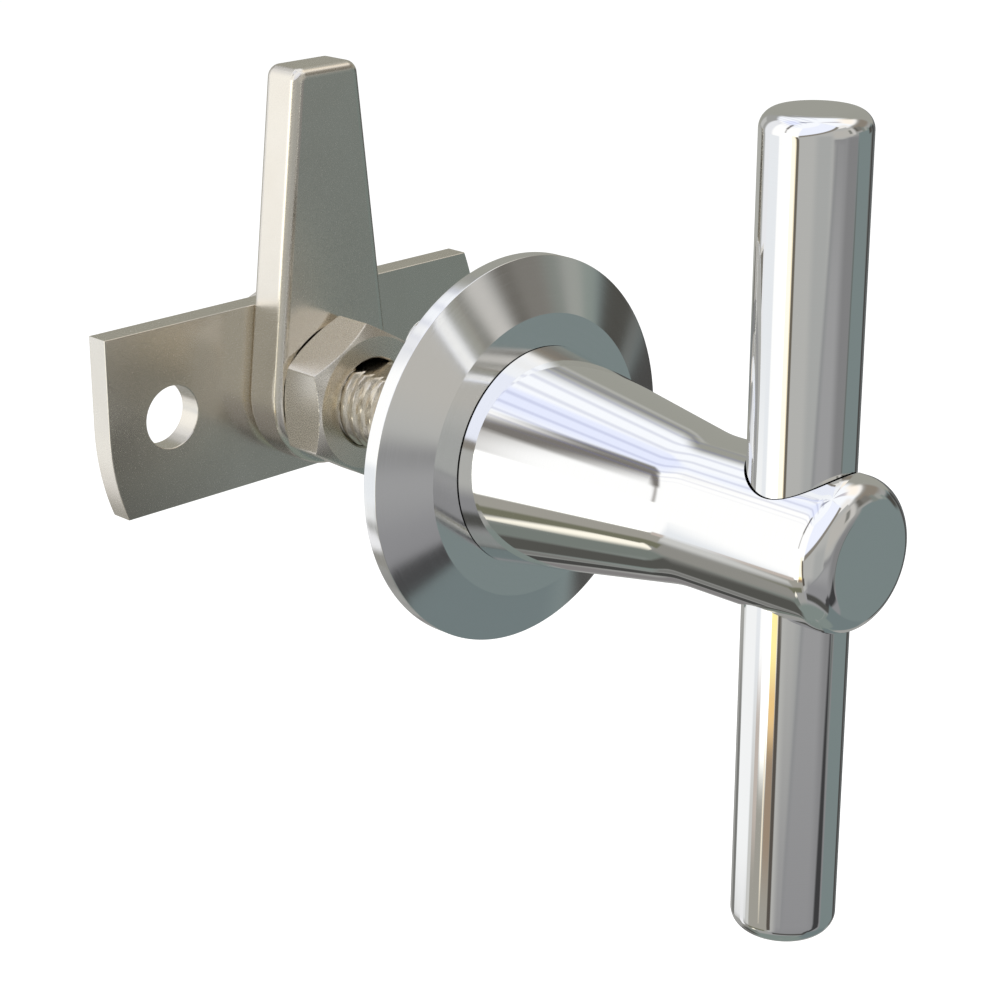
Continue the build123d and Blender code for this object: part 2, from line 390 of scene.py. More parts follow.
def half_outline(corners, closed=False, run_step=RUN_STEP):
    """Points in millimetres along an outline, from corners of (distance, place, rounding)."""
    spots = [Vector(c[:2]) for c in corners]
    path = []
    for number, corner in enumerate(corners):
        radius = corner[2] if len(corner) > 2 else 0.0
        if radius:
            path += arc_corner(spots[number - 1], spots[number], spots[(number + 1) % len(spots)], radius)
        else:
            path.append(spots[number])
    if closed:
        path.append(path[0])
    points = [path[0]]
    for target in path[1:]:
        start = points[-1].copy()
        steps = max(1, math.ceil((target - start).length / run_step))
        points += [start.lerp(target, (s + 1) / steps) for s in range(steps)]
    return points


print("steps in a quarter turn:", math.ceil(90 / ARC_STEP))

# %% [markdown]
# ## Turning an outline with Geometry Nodes
#
# Blender has a Screw modifier and a Spin tool that could turn an outline. A node tree is used
# here because its rule is plain to read: a flat grid has one column for each step round and one
# row for each point of the outline, every grid point looks up its row's outline point, and Set
# Position wraps the grid round the axis. Merging by distance closes the seam and the poles.
# The thread and the nuts begin and end in the same way, so those steps are functions.

# %% Steps that the geometry trees share
GEOMETRY = {"Geometry": "NodeSocketGeometry"}
COUNTS = {"Rows": "NodeSocketInt", "Steps round": "NodeSocketInt"}
SHARED_INPUTS = {**GEOMETRY, **COUNTS, "Finish": "NodeSocketMaterial"}


def geometry_tree(name, inputs):
    """A geometry tree with the inputs that all of them have and with its own."""
    return new_group(name, "GeometryNodeTree", SHARED_INPUTS | inputs, GEOMETRY)


def flat_grid(t, given):
    """A flat grid, each point's share of the way round, its row, and the number of the last row."""
    columns = t.plus(given["Steps round"], 1.0)
    grid = t.add("GeometryNodeMeshGrid", {"Vertices X": columns, "Vertices Y": given["Rows"]})
    here = t.split(t.add("GeometryNodeInputPosition").outputs[0])
    round_share = t.plus(here["X"], 0.5)
    last_row = t.minus(given["Rows"], 1.0)
    row = t.math("ROUND", t.times(t.plus(here["Y"], 0.5), last_row))
    return grid.outputs["Mesh"], round_share, row, last_row


def outline_point(t, given, row):
    """A row's outline point: X is its distance from the axis and Y its place along it."""
    position = t.add("GeometryNodeInputPosition").outputs[0]
    inputs = {"Geometry": given["Geometry"], "Value": position, "Index": row}
    sample = t.add("GeometryNodeSampleIndex", inputs, data_type="FLOAT_VECTOR", domain="POINT")
    return t.split(sample.outputs["Value"])


def wrap_up(t, given, grid, place):
    """Moves the grid's points to their places, welds its seam and poles, and ends the tree."""
    steps = {
        "GeometryNodeSetPosition": {"Position": place},
        "GeometryNodeMergeByDistance": {"Distance": 1e-6},
        "GeometryNodeRealizeInstances": {},
        "GeometryNodeSetMaterial": {"Material": given["Finish"]},
    }
    for kind, inputs in steps.items():
        grid = t.add(kind, {"Geometry": grid, **inputs}).outputs[0]
    t.add("NodeGroupOutput", {"Geometry": grid})


print("inputs of every geometry tree:", list(SHARED_INPUTS))

# %% Geometry tree that turns an outline
def turning_tree():
    inputs = {"Upright": "NodeSocketBool", "Centre": "NodeSocketVector"}
    tree, t, given = geometry_tree("Turn an outline", inputs)
    grid, round_share, row, _ = flat_grid(t, given)
    point = outline_point(t, given, row)
    wide, deep = t.on_circle(point["X"], t.times(round_share, math.tau))
    along_y = t.combine(wide, point["Y"], deep)
    along_z = t.combine(wide, deep, point["Y"])
    ways = {"Switch": given["Upright"], "False": along_y, "True": along_z}
    choice = t.add("GeometryNodeSwitch", ways, input_type="VECTOR").outputs[0]
    placed = t.add("ShaderNodeVectorMath", {0: choice, 1: given["Centre"]}, operation="ADD")
    wrap_up(t, given, grid, placed.outputs[0])
    return tree


TURN = turning_tree()

# %% [markdown]
# ## From a tree to a finished piece
#
# A tree could stay on its object as a live modifier. Here each result is kept as a plain mesh,
# because the booleans cut it, its faces are checked to point outwards, and only then is it
# shaded, bound to its moving body and put in its material slot.

# %% Making and finishing a piece
def evaluated_mesh(obj):
    """The plain mesh that an object's modifiers or curve settings make."""
    graph = bpy.context.evaluated_depsgraph_get()
    return bpy.data.meshes.new_from_object(obj.evaluated_get(graph), depsgraph=graph)


def paint(mesh, finish):
    """Makes a finish the mesh's only one."""
    mesh.materials.clear()
    mesh.materials.append(finish)


def run_tree(name, mesh, tree, values):
    """Runs a geometry tree on a mesh with the named inputs and keeps the result as a plain mesh."""
    source = add_object(name, mesh)
    modifier = source.modifiers.new("tree", "NODES")
    modifier.node_group = tree
    for item in tree.interface.items_tree:
        if item.in_out == "INPUT" and item.name in values:
            modifier[item.identifier] = values[item.name]
    result = evaluated_mesh(source)
    source.modifiers.clear()
    source.data = result
    result.name = name
    return source


def outward(obj):
    """Turns every face outwards if the closed shape came out inside out."""
    shape = bmesh.new()
    shape.from_mesh(obj.data)
    bmesh.ops.dissolve_degenerate(shape, dist=1e-7, edges=shape.edges)
    if shape.calc_volume(signed=True) < 0:
        bmesh.ops.reverse_faces(shape, faces=shape.faces)
    shape.to_mesh(obj.data)
    shape.free()


def from_outline(name, points, tree, values):
    """Runs a tree that has one row for each point of an outline, whose points are in millimetres."""
    mesh = bpy.data.meshes.new(name + " outline")
    mesh.from_pydata([(p.x * MM, p.y * MM, 0) for p in points], [], [])
    piece = run_tree(name, mesh, tree, {"Rows": len(points), **values})
    outward(piece)
    return piece


def turned(name, corners, finish, closed=False, steps=288, upright=False, centre=(0, 0, 0)):
    """A turned piece, from the corners of its half outline and its centre in millimetres."""
    values = {"Steps round": steps, "Upright": upright, "Finish": finish}
    values["Centre"] = tuple(c * MM for c in centre)
    return from_outline(name, half_outline(corners, closed), TURN, values)


def rod(name, radius, low, high, finish, rounding=0.0, **options):
    """A plain turned rod from one place along its axis to another, with its far end rounded."""
    corners = [(0, low), (radius, low), (radius, high, rounding), (0, high)]
    return turned(name, corners, finish, **options)


def cut(piece, tool, operation="DIFFERENCE"):
    """Cuts the tool out of the piece, or joins it on, and deletes the tool."""
    modifier = piece.modifiers.new("cut", "BOOLEAN")
    modifier.operation = operation
    modifier.solver = "EXACT"
    modifier.object = tool
    result = evaluated_mesh(piece)
    piece.modifiers.clear()
    piece.data = result
    bpy.data.objects.remove(tool)


def finished(piece, body, solid, angle=20.0):
    """Shades a piece, with edges sharper than the angle kept crisp, binds it to its moving body and
    hides the solid that it stands for."""
    piece.data.shade_smooth()
    piece.data.set_sharp_from_angle(angle=math.radians(angle))
    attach(piece, body)
    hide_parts(solid)
    triangles = sum(len(p.vertices) - 2 for p in piece.data.polygons)
    print(piece.name, "rides on", body, "with", triangles, "triangles")


print("solids still to be finished:", len(nodes))

# %% [markdown]
# ## T-bar
#
# The cross bar is a plain ground rod, 100 mm long, with generous rounding at both ends that
# leaves a flat disc. It is turned about its own upright axis, which lies 47 mm before the door.

# %% T-bar
BAR_RADIUS = 6.35
BAR_HALF_LENGTH = 50.0
BAR_END_RADIUS = 2.3
BAR_CENTRE = (0, -BAR_OFFSET, 0)

t_bar = turned(
    "t_bar_polished",
    [
        (0, -BAR_HALF_LENGTH),
        (BAR_RADIUS, -BAR_HALF_LENGTH, BAR_END_RADIUS),
        (BAR_RADIUS, BAR_HALF_LENGTH, BAR_END_RADIUS),
        (0, BAR_HALF_LENGTH),
    ],
    POLISHED_BAR,
    upright=True,
    centre=BAR_CENTRE,
)
finished(t_bar, "handle", "t_bar")

# %% [markdown]
# ## Hub
#
# The hub is turned from one bar: a head that the T-bar passes through, a straight neck, a long
# cone that meets the neck in a wide blend, and behind it the spigot that runs in the rosette.
# Its outline also goes back through the bore, where the shaft and the screw that holds the
# T-bar sit. The cross hole is cut with a boolean, a little wider than the bar, so that a thin
# dark crescent shows beside the bar as on the real thing.

# %% Hub
HEAD_RADIUS = 9.34
HEAD_EDGE = 3.6
NOSE = -57.2
SHOULDER = -33.0
SHOULDER_BLEND = 18.0
HUB_BASE_RADIUS = 14.1
HUB_BASE = -5.25
SPIGOT_RADIUS = 8.0
SPIGOT_END = 10.3
SPIGOT_EDGE = 0.4
RING_PLACE = 8.05
RING_GROOVE = 1.05
RING_GROOVE_DEPTH = 0.4
SOCKET_RADIUS = 6.05
SOCKET_BOTTOM = -21.02
SCREW_BORE = 4.05
CROSS_HOLE_RADIUS = 6.55
CROSS_HOLE_REACH = 20.0
SCREW_BORE_END = -BAR_OFFSET + CROSS_HOLE_RADIUS / 2

hub = turned(
    "handle_hub_polished",
    [
        (0, NOSE),
        (HEAD_RADIUS, NOSE, HEAD_EDGE),
        (HEAD_RADIUS, SHOULDER, SHOULDER_BLEND),
        (HUB_BASE_RADIUS, HUB_BASE),
        (SPIGOT_RADIUS, HUB_BASE),
        (SPIGOT_RADIUS, RING_PLACE),
        (SPIGOT_RADIUS - RING_GROOVE_DEPTH, RING_PLACE),
        (SPIGOT_RADIUS - RING_GROOVE_DEPTH, RING_PLACE + RING_GROOVE),
        (SPIGOT_RADIUS, RING_PLACE + RING_GROOVE),
        (SPIGOT_RADIUS, SPIGOT_END, SPIGOT_EDGE),
        (SOCKET_RADIUS, SPIGOT_END),
        (SOCKET_RADIUS, SOCKET_BOTTOM),
        (SCREW_BORE, SOCKET_BOTTOM),
        (SCREW_BORE, SCREW_BORE_END),
        (0, SCREW_BORE_END),
    ],
    POLISHED_HUB,
)
reach = (-CROSS_HOLE_REACH, CROSS_HOLE_REACH)
cross_hole = rod("cross_hole", CROSS_HOLE_RADIUS, *reach, POLISHED_HUB, upright=True, centre=BAR_CENTRE)
cut(hub, cross_hole)
finished(hub, "handle", "handle_hub")

# %% [markdown]
# ## Rosette
#
# The rosette is a turned disc too: a thin rim, a dished cone and a flat ring round the hub. Its
# ring-shaped section never touches the axis, so the outline is closed. Behind it are the collar
# that goes through the door and three bosses with tapped holes, placed by a loop.

# %% Rosette
ROSETTE_RADIUS = 25.0
RIM = -2.1
RIM_EDGE = 0.1
DISH_RADIUS = 18.25
ROSETTE_FACE = -5.1
COLLAR_RADIUS = 10.7
COLLAR_END = 6.0
BORE_RADIUS = 9.0
POCKET_RADIUS = 9.6
POCKET_BOTTOM = -3.5
GROOVE_INNER = 20.3
GROOVE_OUTER = 22.3
GROOVE_DEPTH = 1.2
BOSS_COUNT = 3
BOSS_CIRCLE = 15.0
BOSS_RADIUS = 3.9
BOSS_ROOT = -1.0
BOSS_END = 7.5
BOSS_EDGE = 0.3
BOSS_HOLE_RADIUS = 2.1
BOSS_HOLE_BOTTOM = -1.5
BOSS_HOLE_REACH = 9.0

rosette = turned(
    "rosette_polished",
    [
        (BORE_RADIUS, COLLAR_END),
        (COLLAR_RADIUS, COLLAR_END),
        (COLLAR_RADIUS, 0),
        (GROOVE_INNER, 0),
        (GROOVE_INNER, -GROOVE_DEPTH),
        (GROOVE_OUTER, -GROOVE_DEPTH),
        (GROOVE_OUTER, 0),
        (ROSETTE_RADIUS, 0, RIM_EDGE),
        (ROSETTE_RADIUS, RIM, RIM_EDGE),
        (DISH_RADIUS, ROSETTE_FACE),
        (POCKET_RADIUS, ROSETTE_FACE),
        (POCKET_RADIUS, POCKET_BOTTOM),
        (BORE_RADIUS, POCKET_BOTTOM),
    ],
    POLISHED_DISH,
    closed=True,
    steps=360,
)
for number in range(BOSS_COUNT):
    angle = math.tau * number / BOSS_COUNT
    middle = (BOSS_CIRCLE * math.cos(angle), 0, BOSS_CIRCLE * math.sin(angle))
    place = {"centre": middle, "finish": POLISHED_DISH}
    boss = rod("boss", BOSS_RADIUS, BOSS_ROOT, BOSS_END, rounding=BOSS_EDGE, steps=96, **place)
    cut(rosette, boss, "UNION")
    cut(rosette, rod("hole", BOSS_HOLE_RADIUS, BOSS_HOLE_BOTTOM, BOSS_HOLE_REACH, steps=72, **place))
finished(rosette, "fixed", "rosette")

# %% [markdown]
# ## Threaded shaft
#
# The shaft carries an M12 thread, cut away by a flat at its top and one at its bottom. The
# thread follows a rule, so it is a node tree: a grid is wrapped round the axis, the distance
# from the axis drops into the groove wherever the helix passes, and then every point that
# stands above a flat is pressed down onto it. A modelled helix needs no texture and keeps its
# notches in the silhouette.

# %% Geometry tree that cuts a thread
ROOT_SHARE = 0.15
THREAD_INPUTS = [
    "Start", "End", "Radius", "Pitch", "Depth", "Groove share", "Half flats", "Flats from", "Chamfer",
]


def thread_tree():
    tree, t, given = geometry_tree("Threaded shaft", dict.fromkeys(THREAD_INPUTS, FLOAT))
    grid, round_share, row, last_row = flat_grid(t, given)
    # The first and last rows are the middles of the two end faces, so the length is shared by the rest.
    inner_last = t.minus(last_row, 1.0)
    inner_row = t.math("MINIMUM", t.math("MAXIMUM", row, 1.0), inner_last)
    share = t.over(t.minus(inner_row, 1.0), t.minus(inner_last, 1.0))
    length = t.minus(given["End"], given["Start"])
    along = t.plus(given["Start"], t.times(share, length))
    turns = t.plus(t.over(along, given["Pitch"]), round_share)
    from_groove = t.math("ABSOLUTE", t.minus(t.math("FRACT", turns), 0.5))
    half_groove = t.over(given["Groove share"], 2.0)
    wall = t.over(from_groove, half_groove, clamp=True)
    # The root keeps a narrow flat, so the wall reaches full height over most of the groove's width.
    wall = t.ramp(wall, ROOT_SHARE, 1.0)
    drop = t.times(given["Depth"], t.minus(1.0, wall))
    from_start = t.minus(along, given["Start"])
    to_end = t.math("MINIMUM", from_start, t.minus(given["End"], along))
    chamfer_drop = t.math("MAXIMUM", t.minus(given["Chamfer"], to_end), 0.0)
    radius = t.minus(given["Radius"], t.math("MAXIMUM", drop, chamfer_drop))
    is_wall = t.math("COMPARE", row, inner_row, 0.5)
    radius = t.times(radius, is_wall)
    wide, high = t.on_circle(radius, t.times(round_share, math.tau))
    behind = t.math("GREATER_THAN", along, given["Flats from"])
    # Before the flats begin, the limit is a metre away and the shaft stays round.
    limit = t.plus(given["Half flats"], t.minus(1.0, behind))
    high = t.math("MINIMUM", t.math("MAXIMUM", high, t.times(limit, -1.0)), limit)
    wrap_up(t, given, grid, t.combine(wide, along, high))
    return tree


THREAD = thread_tree()

# %% [markdown]
# ## The shaft's measures
#
# The tree has no measures of its own: they come in through its named inputs, so it could cut
# any other thread. Its rows are close enough for the notches to show in the shaft's outline.

# %% Threaded shaft
SHAFT_RADIUS = 6.0
SHAFT_END = 53.0
shaft_values = {
    "Start": SOCKET_BOTTOM * MM,
    "End": SHAFT_END * MM,
    "Radius": SHAFT_RADIUS * MM,
    "Pitch": 1.75 * MM,
    "Depth": 0.65 * MM,
    "Groove share": 0.62,
    "Half flats": 5.0 * MM,
    "Flats from": 11.0 * MM,
    "Chamfer": 0.9 * MM,
    "Rows": 620,
    "Steps round": 144,
    "Finish": SATIN_THREAD,
}
shaft = run_tree("threaded_shaft_cut", bpy.data.meshes.new("shaft"), THREAD, shaft_values)
outward(shaft)
finished(shaft, "handle", "threaded_shaft", angle=24.0)

# %% [markdown]
# ## Nuts
#
# Both nuts are one rule: at every angle the outside is the smaller of the hexagon's distance
# and the chamfer cone's distance, and a smooth minimum rounds the edges between them by a
# hair, as tumbling does. That thin rounding is what catches the light along the edges.

# %% Geometry tree of a hexagon nut
def nut_tree():
    inputs = dict.fromkeys(["Half width", "Edge", "Place"], FLOAT)
    tree, t, given = geometry_tree("Hexagon nut", inputs)
    grid, round_share, row, _ = flat_grid(t, given)
    angle = t.times(round_share, math.tau)
    point = outline_point(t, given, row)
    # The flats face sideways and a corner stands at the top, so a flat's middle is at angle 0.
    sixth = math.tau / 6
    in_flat = t.minus(t.math("WRAP", t.plus(angle, sixth / 2), sixth, 0.0), sixth / 2)
    to_flat = t.over(given["Half width"], t.math("COSINE", in_flat))
    to_next = t.minus(sixth, t.math("ABSOLUTE", in_flat))
    next_flat = t.over(given["Half width"], t.math("COSINE", to_next))
    hexagon = t.math("SMOOTH_MIN", to_flat, next_flat, t.times(given["Edge"], 2.0))
    outside = t.math("SMOOTH_MIN", point["X"], hexagon, given["Edge"])
    # Only the outer wall meets the hexagon: the bore is far inside it and stays as drawn.
    is_outer = t.math("GREATER_THAN", point["X"], t.times(given["Half width"], 0.9))
    radius = t.add("ShaderNodeMix", {"Factor": is_outer, 2: point["X"], 3: outside}).outputs[0]
    wide, high = t.on_circle(radius, angle)
    along = t.plus(point["Y"], given["Place"])
    wrap_up(t, given, grid, t.combine(wide, along, high))
    return tree


NUT = nut_tree()

# %% [markdown]
# ## The two nuts
#
# The outline is the turned blank with its two chamfer cones, in steps short enough for the thin
# rounding. The front nut presses on the cam arm and the rear one on the rod cam.

# %% Nuts
NUT_WIDTH = 18.7
NUT_THICKNESS = 7.4
NUT_CHAMFER_RADIUS = 9.0
NUT_EDGE = 0.12
NUT_BLANK_RADIUS = NUT_WIDTH / 2 / math.cos(math.radians(30)) + 0.2
NUT_CHAMFER_DROP = (NUT_BLANK_RADIUS - NUT_CHAMFER_RADIUS) * math.tan(math.radians(30))
NUT_RUN_STEP = 0.15
NUT_BORE = 6.05
NUT_COUNTERSINK = 0.25
FRONT_NUT_PLACE = 25.8
REAR_NUT_PLACE = 43.1


def nut_outline():
    """Half outline of the blank that the hexagon is cut from, from the nut's front face."""
    return half_outline(
        [
            (NUT_BORE, NUT_COUNTERSINK),
            (NUT_BORE + NUT_COUNTERSINK, 0),
            (NUT_CHAMFER_RADIUS, 0, NUT_EDGE),
            (NUT_BLANK_RADIUS, NUT_CHAMFER_DROP),
            (NUT_BLANK_RADIUS, NUT_THICKNESS - NUT_CHAMFER_DROP),
            (NUT_CHAMFER_RADIUS, NUT_THICKNESS, NUT_EDGE),
            (NUT_BORE + NUT_COUNTERSINK, NUT_THICKNESS),
            (NUT_BORE, NUT_THICKNESS - NUT_COUNTERSINK),
        ],
        closed=True,
        run_step=NUT_RUN_STEP,
    )


for name, place in (("front_nut", FRONT_NUT_PLACE), ("rear_nut", REAR_NUT_PLACE)):
    values = {"Steps round": 480, "Half width": NUT_WIDTH / 2 * MM, "Edge": NUT_EDGE * MM}
    values |= {"Place": place * MM, "Finish": SATIN_NUT}
    nut = from_outline(name + "_chamfered", nut_outline(), NUT, values)
    finished(nut, "handle", name, angle=14.0)

# %% [markdown]
# ## Rod cam
#
# The rod cam is laser-cut plate. A 2D curve with holes can be filled, extruded and given a
# small bevel in one go, which breaks the sharp edges evenly on the outside and in the holes.

# %% Rod cam
PLATE_LENGTH = 66.3
PLATE_WIDTH = 25.0
PLATE_START = 39.7
PLATE_THICKNESS = 3.4
PLATE_EDGE = 0.12
ROD_HOLE_RADIUS = 4.25
ROD_HOLE_SPACING = 45.8
FLATS_HOLE_RADIUS = 6.1
FLATS_HOLE_HALF = 5.1


def arc(radius, start, end, step=1.5, centre=0.0):
    """Points on a circle round a centre on the X axis, from one angle to another in degrees."""
    count = max(2, math.ceil(abs(end - start) / step))
    angles = [math.radians(start + (end - start) * n / count) for n in range(count + 1)]
    return [(centre + radius * math.cos(a), radius * math.sin(a)) for a in angles]


def plate_outline():
    """Square corners at the upper left and lower right, turning-circle corners at the other two."""
    half = PLATE_LENGTH / 2
    side = PLATE_WIDTH / 2
    cut_angle = math.degrees(math.asin(side / half))
    right = arc(half, 0, cut_angle) + [(-half, side)]
    left = arc(half, 180, 180 + cut_angle) + [(half, -side)]
    return right + left


def flats_outline():
    """A round hole with a flat at its top and one at its bottom."""
    corner = math.degrees(math.asin(FLATS_HOLE_HALF / FLATS_HOLE_RADIUS))
    return arc(FLATS_HOLE_RADIUS, -corner, corner, 4) + arc(FLATS_HOLE_RADIUS, 180 - corner, 180 + corner, 4)


def plate(name, loops, start, thickness, edge, finish):
    """A flat piece cut from plate, from closed loops of X and Z points, with its edges broken."""
    curve = bpy.data.curves.new(name, "CURVE")
    curve.dimensions = "2D"
    curve.fill_mode = "BOTH"
    curve.extrude = (thickness / 2 - edge) * MM
    curve.bevel_depth = edge * MM
    curve.bevel_resolution = 2
    curve.offset = -edge * MM
    for loop in loops:
        spline = curve.splines.new("POLY")
        spline.points.add(len(loop) - 1)
        spline.use_cyclic_u = True
        for point, (x, z) in zip(spline.points, loop):
            point.co = (x * MM, z * MM, 0, 1)
    source = add_object(name + " curve", curve)
    mesh = evaluated_mesh(source)
    bpy.data.objects.remove(source)
    shape = bmesh.new()
    shape.from_mesh(mesh)
    bmesh.ops.remove_doubles(shape, verts=shape.verts, dist=1e-6)
    middle = (start + thickness / 2) * MM
    for vertex in shape.verts:
        x, z, depth = vertex.co
        vertex.co = (x, middle - depth, z)
    bmesh.ops.recalc_face_normals(shape, faces=shape.faces)
    shape.to_mesh(mesh)
    shape.free()
    paint(mesh, finish)
    piece = add_object(name, mesh)
    outward(piece)
    return piece


rod_holes = [arc(ROD_HOLE_RADIUS, 0, 357, 3, side * ROD_HOLE_SPACING / 2) for side in (-1, 1)]
rod_cam = plate(
    "rod_cam_satin", [plate_outline(), flats_outline(), *rod_holes],
    PLATE_START, PLATE_THICKNESS, PLATE_EDGE, SATIN_FLAT,
)
finished(rod_cam, "handle", "rod_cam", angle=12.0)

# %% [markdown]
# ## Pieces that keep their solids
#
# The cam arm with its roundings, the washer, the ring, the pins, the seals and the bush come
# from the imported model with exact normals, so they only get their finish.

# %% Finishes of the other solids
PIECES_WITH = {
    SATIN_ARM: ["cam_arm"],
    SATIN_NUT: ["thrust_washer", "retaining_ring", "grub_screw", "stop_pin", "shaft_pin"],
    SEAL_RUBBER: ["face_seal", "shaft_seal"],
    BUSH_PLASTIC: ["bearing_bush"],
}
for finish, names in PIECES_WITH.items():
    for name in names:
        paint(nodes[name].data, finish)
    print(finish.name, "is on", names)

# %% [markdown]
# ## Floor and background
#
# The floor lies well under the latch, which hangs in its door and touches nothing. It is pale,
# and to rays that come from the camera, from a mirror or through glass it adds a little light
# of its own, so that it meets the white background without a line and still keeps the shadow.

# %% Floor
FLOOR_HEIGHT = -0.30
FLOOR_HALF = 12.0
FLOOR_GLOW = 0.52


def seen_directly(t):
    """1 for rays from the camera and for rays that a mirror or glass sends on, and 0 for the rest."""
    path = t.add("ShaderNodeLightPath").outputs
    mirrored = t.math("MAXIMUM", path["Is Glossy Ray"], path["Is Transmission Ray"])
    return t.math("MAXIMUM", path["Is Camera Ray"], mirrored)


floor_mesh = bpy.data.meshes.new("floor")
corners = [(-1, -1), (1, -1), (1, 1), (-1, 1)]
spots = [(x * FLOOR_HALF, y * FLOOR_HALF, FLOOR_HEIGHT) for x, y in corners]
floor_mesh.from_pydata(spots, [], [(0, 1, 2, 3)])
floor = add_object("floor", floor_mesh)
floor_material, t, shader = new_material("Pale floor")
glow = t.times(seen_directly(t), FLOOR_GLOW)
t.fill(shader, {"Base Color": display(0.93, 0.93, 0.93), "Roughness": 0.9, "Specular IOR Level": 0.0})
t.fill(shader, {"Emission Color": (1, 1, 1, 1), "Emission Strength": glow})
floor_mesh.materials.append(floor_material)
floor.visible_glossy = False

# %% [markdown]
# ## World
#
# The background is plain white where it is seen. To all other rays the white is a little over
# half as strong, which lights the shaded sides of the pieces softly.

# %% World
WORLD_LIGHT = 0.55

world = bpy.data.worlds.new("studio")
bpy.context.scene.world = world
t = emptied(world)
strength = t.ramp(seen_directly(t), 0.0, 1.0, WORLD_LIGHT, 1.0)
background = t.add("ShaderNodeBackground", {"Color": (1, 1, 1, 1), "Strength": strength})
t.add("ShaderNodeOutputWorld", {"Surface": background.outputs[0]})
print("world light:", WORLD_LIGHT)

# %% [markdown]
# ## Lamps
#
# Two large soft lamps, a key from the upper left and a fill from the right, light the floor and
# the pieces that aren't metal. Mirrors don't see them: they see the tent that comes next.

# %% Lamps
LAMP_SIZE = 0.9


def soft_lamp(name, place, power):
    """A large square lamp that looks at the latch."""
    data = bpy.data.lights.new(name, "AREA")
    data.shape = "RECTANGLE"
    data.size = data.size_y = LAMP_SIZE
    data.energy = power
    lamp = add_object(name, data)
    lamp.location = place
    lamp.rotation_euler = (-Vector(place)).to_track_quat("-Z", "Y").to_euler()
    lamp.visible_glossy = False
    print(name, "with", power, "W")


soft_lamp("key_lamp", (-0.9, -0.7, 1.2), 14)
soft_lamp("fill_lamp", (1.1, -0.6, 0.8), 5)

# %% [markdown]
# ## The light tent
#
# Polished metal has no look of its own: it shows the studio. Such pieces are photographed in a
# tent of white cloth with grey and dark cards, whose edges draw the long stripes along the bar
# and the hub. The tent here is a large sphere that only mirrored rays see, and the floor lets
# those rays pass. Its cards are windows in azimuth and elevation, painted one over the other
# with soft edges. Azimuth 0 is behind the door, 90 at the user's right, and -90 at the left.
#
# A picture of a real studio could light the metal too. Painted cards keep the scene free of
# image files, and each one can be moved until its stripe lies where it should.

# %% Card group
CARD_INPUTS = ["Azimuth", "Elevation", "Middle", "Half width", "Height", "Half height", "Turn", "Soft"]


def card_group():
    inputs = dict.fromkeys(CARD_INPUTS, FLOAT)
    tree, t, given = new_group("Card in the tent", "ShaderNodeTree", inputs, {"Mask": FLOAT})
    aside = t.math("WRAP", t.minus(given["Azimuth"], given["Middle"]), 180.0, -180.0)
    above = t.minus(given["Elevation"], given["Height"])
    cosine, sine = t.on_circle(1.0, t.math("RADIANS", given["Turn"]))
    across = t.plus(t.times(aside, cosine), t.times(above, sine))
    upward = t.minus(t.times(above, cosine), t.times(aside, sine))
    covers = []
    for place, half in ((across, given["Half width"]), (upward, given["Half height"])):
        inside = t.over(t.minus(half, t.math("ABSOLUTE", place)), given["Soft"])
        covers.append(t.ramp(inside, -0.5, 0.5, smooth=True))
    t.add("NodeGroupOutput", {"Mask": t.times(*covers)})
    return tree


CARD = card_group()


def card_mask(t, *values):
    """How far a card covers a direction, from the values of the group's inputs in their order."""
    return t.add("ShaderNodeGroup", dict(zip(CARD_INPUTS, values)), node_tree=CARD).outputs["Mask"]

# %% [markdown]
# ## The cards
#
# Each card is its middle azimuth and half width, its middle elevation and half height, its turn
# and the softness of its edge, all in degrees, and its colour as a screen shows it. A colour
# over 1 is a card brighter than white. Later cards hang before earlier ones.

